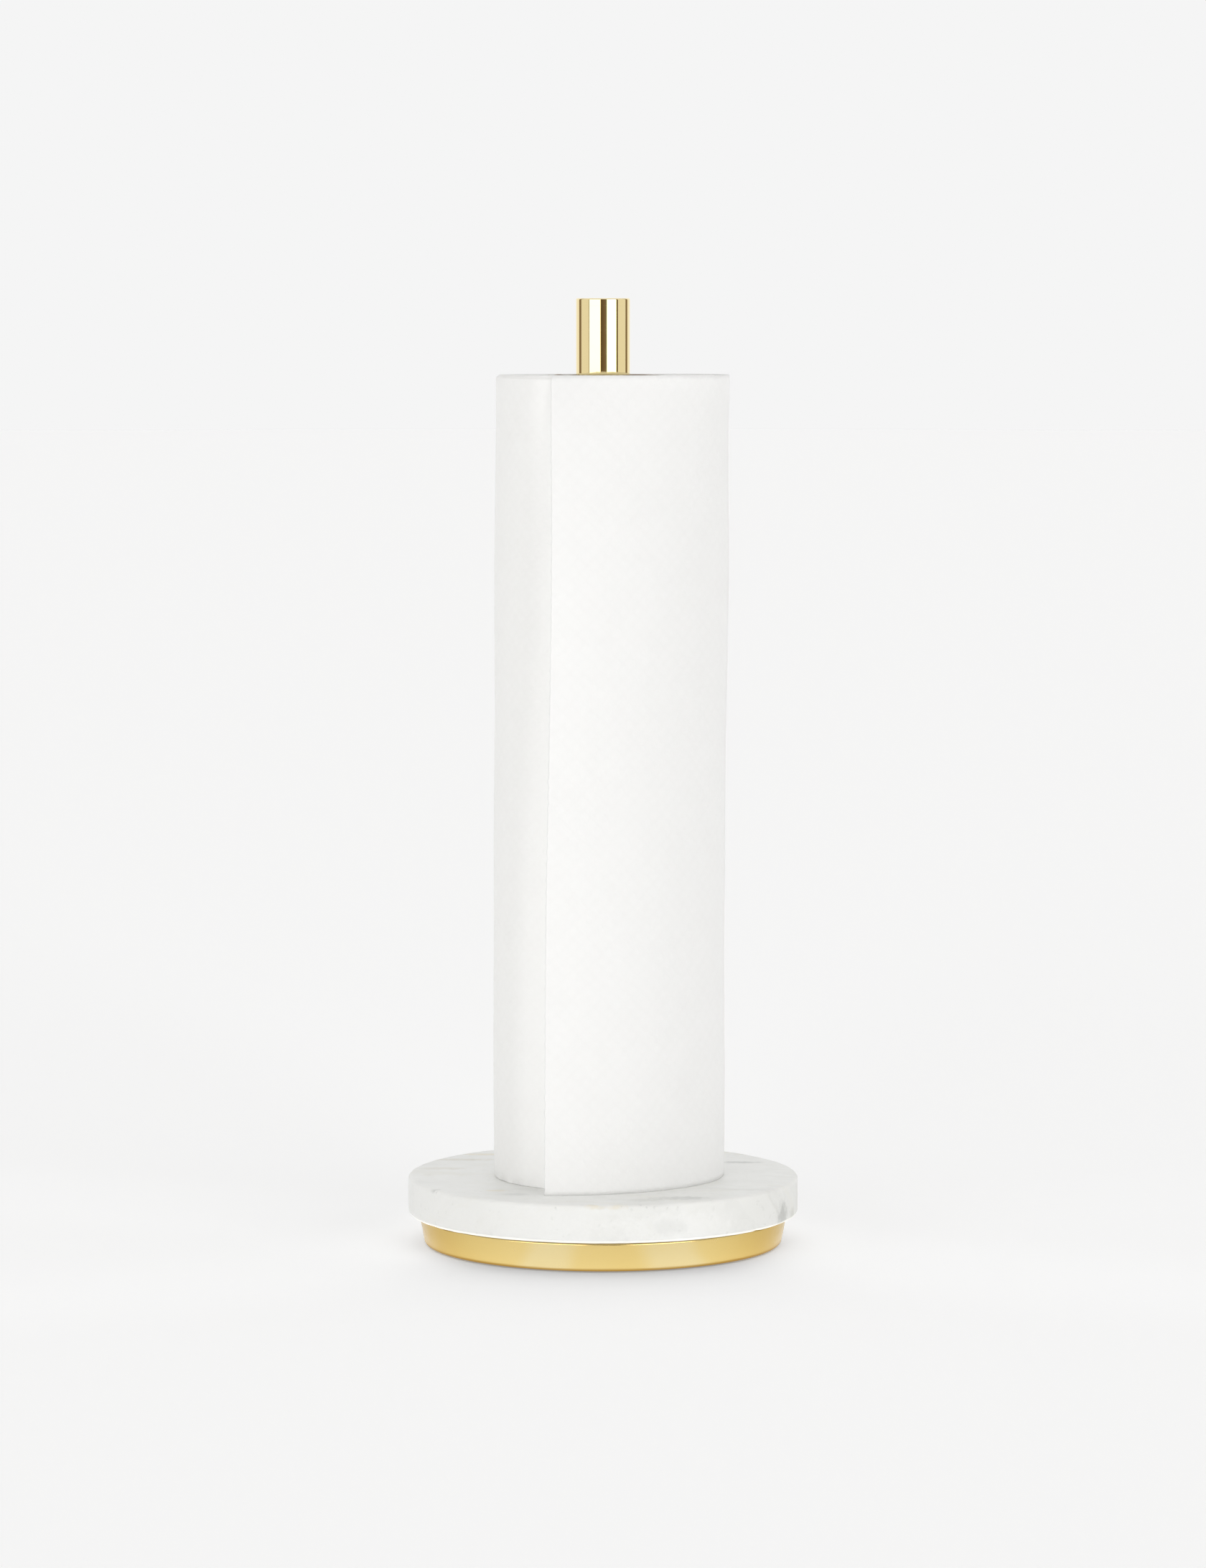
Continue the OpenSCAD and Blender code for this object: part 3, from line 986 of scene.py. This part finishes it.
def make_wound_roll(finish):
    """The wound paper: a spiral of layers whose cut edges show on both ends. The ends dip
    between layers, by a depth that follows sin(pi w)^2 with w = (r - bore) / pitch - a / turn,
    the corners are soft, and the outside is slightly uneven from winding."""
    bore = ROLL_R - 17.6 * MM
    pitch = 0.55 * MM
    low, high = ROLL_LOW.z, ROLL_HIGH.z
    edge, low_edge = 1.3 * MM, 0.25 * MM
    # One closed outline: up the bore, out over the top end, down the outside, in under it
    across = np.arange(bore, ROLL_R - edge, pitch / 3)
    arc = np.linspace(0, math.pi / 2, 9)
    round_r = ROLL_R - edge + edge * np.sin(arc)
    round_top = high - edge + edge * np.cos(arc)
    side = np.linspace(high - edge, low + low_edge, 64)[1:-1]
    round_low_r = ROLL_R - low_edge + low_edge * np.sin(arc)
    round_low = low + low_edge - low_edge * np.cos(arc)
    inside = np.linspace(low, high, 12)[1:-1]
    profile_r = np.concatenate([
        np.full(inside.size, bore), across, round_r,
        np.full(side.size, ROLL_R), round_low_r[::-1], across[::-1],
    ])
    profile_z = np.concatenate([
        inside, np.full(across.size, high), round_top,
        side, round_low[::-1], np.full(across.size, low),
    ])
    profile = np.stack([profile_r, profile_z], axis=1)
    segments = 288

    def shape(a, r, z):
        out = np.clip((r - bore) / (ROLL_R - bore), 0.0, 1.0)
        winding = (r - bore) / pitch - a / TAU
        layer = 0.5 - 0.5 * np.cos(TAU * winding)
        end = ease(z, high - 0.3 * MM, high) - ease(-z, -low - 0.3 * MM, -low)
        inner_part = 1 - ease(r, ROLL_R - edge, ROLL_R - 0.3 * edge)
        ends = 0.05 * MM * layer + 0.03 * MM * (1 + ripple(41, 1, 5, 8, a, out * TAU))
        ends = ends + 0.015 * MM * (1 + ripple(42, 9, 40, 10, a, winding * 0.4))
        z_new = z - end * ends * inner_part + np.clip(end, 0, 1) * end_tilt(r * np.sin(a))
        skin = ease(r, ROLL_R - 2 * edge, ROLL_R)
        up = (z - low) / ROLL_H * TAU
        bumps = 0.10 * MM * ripple(43, 1, 4, 8, a, up)
        bumps = bumps + 0.035 * MM * ripple(44, 6, 18, 14, a, up)
        r_new = r + skin * (bumps - 0.12 * MM)
        r_new = r_new - skin * 0.25 * MM * np.abs(end) * (1 + 0.6 * ripple(45, 8, 30, 12, a))
        centre = ROLL_X + out * roll_lean(z)
        return r_new * np.cos(a) + centre, r_new * np.sin(a), z_new

    angle = np.linspace(0, TAU, segments + 1)
    a, r = np.meshgrid(angle, profile[:, 0])
    z = np.repeat(profile[:, 1][:, None], segments + 1, axis=1)
    x, y, z_new = shape(a, r, z)
    points = np.stack([x, y, z_new], axis=-1)[:, :-1].reshape(-1, 3)
    # The flat coordinates follow the paper: round the roll, and up it or in over its ends
    length = np.concatenate([[0], np.cumsum(np.linalg.norm(np.diff(profile, axis=0), axis=1))])
    u = a * ROLL_R
    v = np.repeat(length[:, None], segments + 1, axis=1)
    flat = np.stack([u, v], axis=-1)
    quads = grid_quads(len(profile), segments, True, True)
    flat_quads = grid_quads(len(profile), segments + 1, True, False)
    return build_wrapped("wound_paper", points, quads, flat.reshape(-1, 2), flat_quads, finish)


def build_wrapped(name, points, quads, flat, flat_quads, finish):
    """As build_piece, for a closed surface whose flat coordinates have a seam: flat_quads are
    the same cells, numbered in a grid that has one more column than the points' own."""
    if volume(points, quads) < 0:
        quads, flat_quads = quads[:, ::-1], flat_quads[:, ::-1]
    piece = build_piece(name, points, quads, finish, solid=False)
    layer = piece.data.uv_layers.new(name="paper")
    layer.uv.foreach_set("vector", flat[flat_quads.ravel()].astype(np.float32).ravel())
    return piece


def make_loose_sheet(finish):
    """The first sheet, loose round the roll. From above it is one curve of the sheet's own
    length: its heading turns by arc length / radius, except along a slack stretch behind the
    roll and a nearly straight free end. The slack grows with height, and the edges wave."""
    columns, rows = 241, 150
    length, width = SHEET_CUT
    low, high = ROLL_LOW.z, ROLL_HIGH.z
    along = np.linspace(0, length, columns)
    up = np.linspace(0, 1, rows)
    s, h = np.meshgrid(along, up)
    z = low + h * (high - low)
    slack = (4.3 + 0.6 * ease(h, 0.3, 1.0)) * MM
    slack_from, slack_to = 4 * MM, 17 * MM
    radius = 37.6 * MM
    bend_end, bend_fade = 86.5 * MM, 8.4 * MM
    curl = 0.585 + 0.05 * h + 0.25 * h**6
    bend = 1 - slack / (slack_to - slack_from) * ((s > slack_from) & (s < slack_to))
    after = ease(s, bend_end, bend_end + bend_fade)
    bend = bend * (1 - after) + curl * after
    step = along[1] - along[0]
    turned_by = np.cumsum(bend, axis=1) * step / radius
    turned_by -= turned_by[:, :1]
    start = np.radians(90.3 + 2.3 * ease(h, 0.0, 0.9))
    heading = start - math.pi / 2 - turned_by
    lie = ROLL_R + 0.35 * MM
    x = np.cumsum(np.cos(heading), axis=1) * step + ROLL_X + roll_lean(z) + lie * np.cos(start)
    y = np.cumsum(np.sin(heading), axis=1) * step + lie * np.sin(start)
    # Soft waves in the face, which die out where the sheet lies on the roll
    free = ease(s, 10 * MM, 60 * MM)
    s_turn, z_turn = s / length * TAU, h * TAU
    wave = 0.22 * MM * ripple(51, 1, 3, 6, s_turn, z_turn)
    wave = wave + 0.05 * MM * ripple(52, 5, 14, 14, s_turn, z_turn)
    # The first few millimetres are pressed down on the roll, where the sheet leaves it
    wave = wave * free - 0.30 * MM * (1 - ease(s, 0.0, 6 * MM))
    x = x - np.sin(heading) * wave
    y = y + np.cos(heading) * wave
    top_edge = ease(h, 0.96, 1.0)
    low_edge = ease(-h, -0.04, 0.0)
    z = z + top_edge * (end_tilt(y) + 0.05 * MM * ripple(53, 1, 7, 8, s_turn))
    z = z + low_edge * 0.012 * MM * (ripple(54, 1, 7, 8, s_turn) + 1.6)
    # The top edge turns in a little, which softens it
    turn_in = ease(h, 1 - 1.0 * MM / width, 1.0) ** 2 * 0.28 * MM
    x = x + np.sin(heading) * turn_in
    y = y - np.cos(heading) * turn_in
    # The torn edge: small teeth where the perforation let go
    teeth = ease(s, length - 1.2 * MM, length)
    tooth_pitch = 3.1 * MM
    tear = 0.5 + 0.5 * np.sin(z / tooth_pitch * TAU)
    tug = teeth * (0.28 * MM * tear + 0.06 * MM * ripple(55, 40, 120, 20, z_turn))
    x = x - np.cos(heading) * tug
    y = y - np.sin(heading) * tug
    points = np.stack([x, y, z], axis=-1).reshape(-1, 3)
    quads = grid_quads(rows, columns, False, False)
    flat = np.stack([s, h * width], axis=-1).reshape(-1, 2)
    piece = build_piece("loose_towel", points, quads, finish, uv=flat, solid=False)
    solidify = piece.modifiers.new("Thickness", "SOLIDIFY")
    solidify.thickness = SHEET_THICK
    solidify.offset = 0.0
    return piece


def floor_tone(tree, radius, sideways):
    """The floor's colour and own glow, with painted shade and light. The even light of the room
    leaves the floor a little too bright in front of the foot and too dark beside it, so its
    tone is multiplied by 1 + change * exp(-distance / reach): a painted shadow in front and
    painted light beside it. A painted glow in front thins the shadow close to the foot.
    Returns exp(-distance / reach) too."""
    from_foot = minus(tree, PAN_FOOT_R, radius)
    reach = number_mix(tree, sideways, FRONT_SHADE_REACH, SIDE_LIFT_REACH)
    change = number_mix(tree, sideways, -FRONT_SHADE, SIDE_LIFT)
    near = maths(tree, "EXPONENT", maths(tree, "DIVIDE", from_foot, reach))
    light = plus(tree, times(tree, near, change), 1.0)
    close = maths(tree, "EXPONENT", maths(tree, "DIVIDE", from_foot, CONTACT_REACH))
    painted_contact_glow = times(tree, close, number_mix(tree, sideways, CONTACT_GLOW, 0.0))
    own_glow = plus(tree, times(tree, light, FLOOR_GLOW), painted_contact_glow)
    return times(tree, light, FLOOR_ALBEDO), own_glow, near


def floor_in_gold(tree, radius, turn, near):
    """A painted reflection: the glow that polished gold sees in place of the floor. It is brighter
    towards the foot, dark and warm right at it, with painted streaks of the two softboxes, and
    further out soft painted stripes of the softboxes and dark strips, for the upright post."""
    softbox_streaks = 0.0
    for middle, half_width in PAINTED_SOFTBOX_STREAKS:
        off = maths(tree, "ABSOLUTE", minus(tree, turn, middle))
        streak = slope(tree, off, half_width * 0.5, half_width * 1.2, 1.0, 0.0)
        softbox_streaks = plus(tree, softbox_streaks, streak)
    seen = colour_mix(tree, softbox_streaks, (1.0, 1.0, 1.0, 1), (1.02, 1.09, 1.38, 1))
    at_foot = (PAN_FOOT_R - 1 * MM, PAN_FOOT_R + 3 * MM)
    seen = colour_mix(tree, slope(tree, radius, *at_foot, 0.8, 0.0), seen, (1.05, 0.80, 0.42, 1))
    glow = plus(tree, times(tree, near, GOLD_FLOOR_RISE), GOLD_FLOOR_GLOW)
    glow = times(tree, glow, slope(tree, radius, *at_foot, 0.50, 1.0))
    stripes = 0.0
    for middle, half_width, strength in FLOOR_STRIPES:
        wrapped = {0: minus(tree, turn, middle), 1: 180.0, 2: -180.0}
        off = node(tree, "ShaderNodeMath", wrapped, operation="WRAP").outputs[0]
        off = maths(tree, "ABSOLUTE", off)
        stripe = slope(tree, off, half_width * 0.8, half_width * 1.2, strength, 0.0)
        stripes = plus(tree, stripes, stripe)
    stripes = times(tree, stripes, slope(tree, radius, *STRIPES_FROM))
    glow = times(tree, glow, plus(tree, stripes, 1.0))
    return node(tree, "ShaderNodeEmission", {"Color": seen, "Strength": glow})


def mix_shader(tree, factor, a, b):
    shaders = {0: factor, 1: a.outputs[0], 2: b.outputs[0]}
    return node(tree, "ShaderNodeMixShader", shaders)


def make_floor():
    """A wide plain floor, matt and pale: rings of points (r cos a, r sin a) whose radii grow
    outwards by a constant factor. It starts just inside the foot, a hair below it, and is clear
    from below, so that the underside can be looked at."""
    finish, tree, shader, place = new_finish(
        "Floor", Roughness=1.0, Specular_IOR_Level=0.0, Emission_Strength=1.0
    )
    x, y = split(tree, place)[:2]
    radius = length_of(tree, joined(tree, x, y, 0.0))
    sideways = slope(tree, maths(tree, "DIVIDE", y, radius), -0.9, -0.3)
    # Painted shadow in front of the foot and painted light beside it
    albedo, own_glow, near = floor_tone(tree, radius, sideways)
    tree.links.new(grey_of(tree, albedo), shader.inputs["Base Color"])
    tree.links.new(grey_of(tree, own_glow), shader.inputs["Emission Color"])
    # Glossy rays see the painted reflection in place of the floor's own face
    mirrored = floor_in_gold(tree, radius, degrees_from_front(tree, x, y), near)
    in_gold = tree.nodes.new("ShaderNodeLightPath").outputs["Is Glossy Ray"]
    from_below = tree.nodes.new("ShaderNodeNewGeometry").outputs["Backfacing"]
    either = mix_shader(tree, in_gold, shader, mirrored)
    whole = mix_shader(tree, from_below, either, node(tree, "ShaderNodeBsdfTransparent"))
    ending = next(item for item in tree.nodes if item.type == "OUTPUT_MATERIAL")
    tree.links.new(whole.outputs[0], ending.inputs["Surface"])
    ring_r = np.geomspace(FOOT_HIGH.x - 0.5 * MM, FLOOR_R, 24)
    angle = np.linspace(0, TAU, 96, endpoint=False)
    a, r = np.meshgrid(angle, ring_r)
    points = np.stack([r * np.cos(a), r * np.sin(a), 0 * r + FLOOR_Z], axis=-1).reshape(-1, 3)
    quads = grid_quads(len(ring_r), len(angle), False, True)
    floor = build_piece("floor", points, quads, finish, solid=False)
    if floor.data.polygons[0].normal.z < 0:
        floor.data.flip_normals()


# ---------------------------------------------------------------------------------------------
# Camera and light
# ---------------------------------------------------------------------------------------------


def make_camera():
    """Two metres in front and a little above the post's top, looking slightly down."""
    lens = bpy.data.cameras.new("camera")
    lens.lens = CAMERA_LENS
    lens.sensor_width = 36.0
    lens.clip_end = 50.0
    camera = bpy.data.objects.new("camera", lens)
    camera.location = (0.0, -CAMERA_BACK, CAMERA_HEIGHT)
    camera.rotation_euler = Euler((math.radians(CAMERA_TILT), 0.0, 0.0))
    bpy.context.scene.collection.objects.link(camera)
    bpy.context.scene.camera = camera


def strip(tree, value, start, end, soft):
    """1 between start and end and 0 outside, eased over soft to each side of both."""
    rise = slope(tree, value, start - soft, start + soft)
    fall = slope(tree, value, end - soft, end + soft, 1.0, 0.0)
    return times(tree, rise, fall)


def make_studio():
    """The light of the room, by direction: azimuth is measured from the front (-Y), positive to
    the right, and elevation from the horizon. Two softboxes stand left and right of the camera,
    with a dark gap between them, pale side walls, a bright back wall and a dimmer ceiling."""
    world = bpy.data.worlds.new("studio")
    bpy.context.scene.world = world
    world.use_nodes = True
    tree = world.node_tree
    tree.nodes.clear()
    x, y, z = split(tree, tree.nodes.new("ShaderNodeTexCoord").outputs["Generated"])[:3]
    azimuth = degrees_from_front(tree, x, y)
    level = times(tree, maths(tree, "ARCSINE", z), 180 / math.pi)
    aside = maths(tree, "ABSOLUTE", azimuth)
    # The gap in front grows a little lighter from left to right
    gap = slope(tree, azimuth, -10.0, 12.0, 0.12, 0.20)
    room = number_mix(tree, slope(tree, aside, 60.0, 66.0), gap, SIDE_WALL)
    room = number_mix(tree, slope(tree, aside, 116.0, 124.0), room, BACK_WALL)
    darkness = 0.0
    for start, end, depth in DARK_STRIPS:
        dark = times(tree, strip(tree, azimuth, start, end, 2.0), depth)
        room = number_mix(tree, dark, room, 0.02)
        darkness = maths(tree, "MAXIMUM", darkness, dark)
    light = number_mix(tree, slope(tree, level, 25.0, 65.0), room, CEILING)
    for start, end, strength in SOFTBOXES:
        across = strip(tree, azimuth, start, end, 1.5)
        panel = times(tree, across, strip(tree, level, *SOFTBOX_LEVELS, 3.0))
        light = number_mix(tree, panel, light, strength)
    seen = node(tree, "ShaderNodeLightPath").outputs["Is Camera Ray"]
    low_front = minus(tree, slope(tree, level, 20.0, 40.0, 1.0, 0.0), seen, clamp=True)
    light = number_mix(tree, seen, light, BACKDROP)
    # What fills the gap and the dark strips is brown: its green and blue are weaker than its red
    brown = maths(tree, "MAXIMUM", slope(tree, aside, 9.0, 14.0, 1.0, 0.0), darkness)
    brown = times(tree, brown, low_front)
    green = times(tree, light, slope(tree, brown, 0.0, 1.0, 1.0, 0.72))
    blue = times(tree, light, slope(tree, brown, 0.0, 1.0, 1.0, 0.45))
    colour = joined(tree, light, green, blue)
    background = node(tree, "ShaderNodeBackground", {"Color": colour, "Strength": 1.0})
    ending = tree.nodes.new("ShaderNodeOutputWorld")
    tree.links.new(background.outputs[0], ending.inputs["Surface"])


# ---------------------------------------------------------------------------------------------
# The scene
# ---------------------------------------------------------------------------------------------

bpy.context.scene.view_settings.view_transform = "Standard"
make_camera()
make_studio()
make_floor()

cap_edge = (POST_R, CAP_HIGH.z)
pan_rim = (PAN_RIM_R, PAN_HIGH.z)
post_marks = (0.9 * MM, 0.002 * MM)
pan_marks = (0.35 * MM, 0.010 * MM)
post_gloss, pan_gloss = (0.03, 0.06), (0.18, 0.28)
post_gold = gold_finish("Gold post", BRIGHT_GOLD, post_gloss, post_marks, cap_edge, 40.0, 0.0)
pan_gold = gold_finish("Gold pan", DEEP_GOLD, pan_gloss, pan_marks, pan_rim, 30.0, 1.0)

marble = make_marble(marble_finish())
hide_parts("marble_disc")
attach(marble, "holder")

tube, cap = make_post(post_gold)
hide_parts("post_tube")
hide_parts("post_cap")
for piece in (tube, cap):
    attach(piece, "holder")

pan = make_pan(pan_gold)
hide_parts("base_pan")
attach(pan, "holder")

core = make_core(cardboard_finish())
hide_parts("core_tube")
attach(core, "core")

wound_tint, loose_tint = (0.885, 0.885, 0.87, 1), (0.90, 0.90, 0.89, 1)
wound = make_wound_roll(paper_finish("Paper wound", 0.02 * MM, wound_tint, 0.15, True))
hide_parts("paper_roll")
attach(wound, "paper")

towel = make_loose_sheet(paper_finish("Paper loose", 0.025 * MM, loose_tint, 0.25, False))
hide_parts("loose_sheet")
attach(towel, "paper")

steel = steel_finish("Zinc plated steel", (0.66, 0.66, 0.64, 1), (0.46, 0.46, 0.45, 1), 0.28, 0.2)
ballast = steel_finish("Ballast steel", (0.40, 0.39, 0.37, 1), (0.24, 0.22, 0.20, 1), 0.42, 0.35)
kept_finishes = {
    "ballast_ring": ballast,
    "marble_pad": foam_finish("Foam sheet", (0.12, 0.12, 0.12, 1), 900.0, 0.10 * MM),
    "foot_pad": foam_finish("Non-slip foam", (0.030, 0.030, 0.032, 1), 650.0, 0.16 * MM),
    "post_washer": fibre_finish(),
    "threaded_plug": steel,
    "clamp_screw": steel,
    "spring_washer": steel,
    "flat_washer": steel,
}
for name, finish in kept_finishes.items():
    for material_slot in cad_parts[name].material_slots:
        material_slot.material = finish
